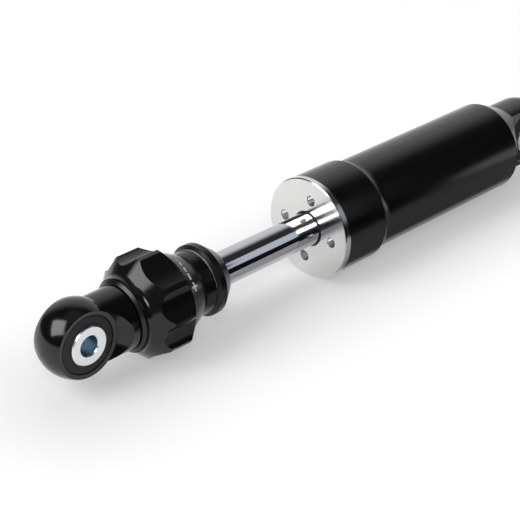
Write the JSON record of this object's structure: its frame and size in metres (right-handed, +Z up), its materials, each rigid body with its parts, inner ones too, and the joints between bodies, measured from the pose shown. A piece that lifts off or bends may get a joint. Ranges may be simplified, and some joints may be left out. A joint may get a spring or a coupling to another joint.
{
  "type": "shock absorber",
  "caption": "Gas damper with rubber bushed eyes, a chromed rod, a screwed seal head and a fluted rebound adjuster knob beside the rod eye; no road spring.",
  "frame": {"origin": "middle of the body eye's sleeve bore, with the rod fully out", "axes": "+X along the damper from the rod eye to the body eye, +Y along both eye bores, +Z up, away from the charge plug"},
  "size_m": [0.3714, 0.0558, 0.056],
  "materials": {
    "black_tube": "gloss black anodised",
    "black_eye": "gloss black anodised",
    "black_knob": "gloss black anodised",
    "black_trim": "gloss black anodised",
    "bush_rubber": "matt moulded rubber",
    "zinc_sleeve": "bright zinc plated",
    "chrome_rod": "polished hard chrome",
    "turned_aluminium": "bare, fine turned",
    "seal_rubber": "smooth nitrile rubber",
    "plug_steel": "dull zinc plated",
    "inner_steel": "ground steel",
    "inner_aluminium": "machined",
    "bearing_bronze": "bearing bronze",
    "slide_band": "filled slide plastic"
  },
  "bodies": {
    "damper_body": {"body_tube": "black_tube", "eye_cap": "black_eye", "eye_cap_o_ring": "seal_rubber", "charge_plug": "plug_steel", "charge_plug_washer": "plug_steel", "seal_head": "turned_aluminium", "seal_head_o_ring": "seal_rubber", "rod_wiper": "seal_rubber", "rod_seal": "seal_rubber", "guide_bush": "bearing_bronze", "body_eye_bush": "bush_rubber"},
    "body_eye_inner": {"body_eye_sleeve": "zinc_sleeve"},
    "gas_divider": {"floating_piston": "inner_aluminium", "floating_piston_o_ring": "seal_rubber", "floating_piston_band": "slide_band"},
    "sliding_band": {"piston_band": "slide_band"},
    "rod_assembly": {"rod_eye": "black_eye", "rod_eye_bush": "bush_rubber", "thrust_ring": "black_trim", "bump_cup": "black_trim", "piston_rod": "chrome_rod", "top_out_bumper": "seal_rubber", "top_out_washer": "inner_steel", "compression_shims": "inner_steel", "piston": "inner_aluminium", "rebound_shims": "inner_steel", "piston_washer": "inner_steel", "piston_nut": "inner_steel", "detent_ball": "inner_steel", "detent_spring": "inner_steel"},
    "rod_eye_inner": {"rod_eye_sleeve": "zinc_sleeve"},
    "knob": {"adjuster_knob": "black_knob"},
    "metering": {"adjuster_carrier": "bearing_bronze", "carrier_pin": "inner_steel", "adjuster_pushrod": "inner_steel", "metering_needle": "inner_steel", "pushrod_o_ring": "seal_rubber"}
  },
  "joints": [
    {"name": "rod_slide", "type": "slide", "parent": "damper_body", "child": "sliding_band", "axis": [1, 0, 0], "range_m": [0, 0.066], "stiffness_N_per_m": 2500, "springref_m": -0.15},
    {"name": "rod_swivel", "type": "hinge", "parent": "sliding_band", "child": "rod_assembly", "pos_m": [-0.1385, 0, 0], "axis": [1, 0, 0], "continuous": true},
    {"name": "knob_turn", "type": "hinge", "parent": "rod_assembly", "child": "knob", "pos_m": [-0.282, 0, 0], "axis": [1, 0, 0], "range_deg": [-90, 180]},
    {"name": "metering_slide", "type": "slide", "parent": "rod_assembly", "child": "metering", "axis": [1, 0, 0], "range_m": [-0.00151, 0.00301]},
    {"name": "gas_divider_slide", "type": "slide", "parent": "damper_body", "child": "gas_divider", "axis": [1, 0, 0], "range_m": [0, 0.0102]},
    {"name": "body_eye_twist", "type": "hinge", "parent": "damper_body", "child": "body_eye_inner", "pos_m": [0, 0, 0], "axis": [0, 1, 0], "range_deg": [-20, 20], "stiffness_Nm_per_rad": 40},
    {"name": "rod_eye_twist", "type": "hinge", "parent": "rod_assembly", "child": "rod_eye_inner", "pos_m": [-0.332, 0, 0], "axis": [0, 1, 0], "range_deg": [-20, 20], "stiffness_Nm_per_rad": 40}
  ],
  "couplings": [
    {"joint": "metering_slide", "follows": "knob_turn", "m_per_rad": 0.00095493},
    {"joint": "gas_divider_slide", "follows": "rod_slide", "ratio": 0.15312}
  ]
}
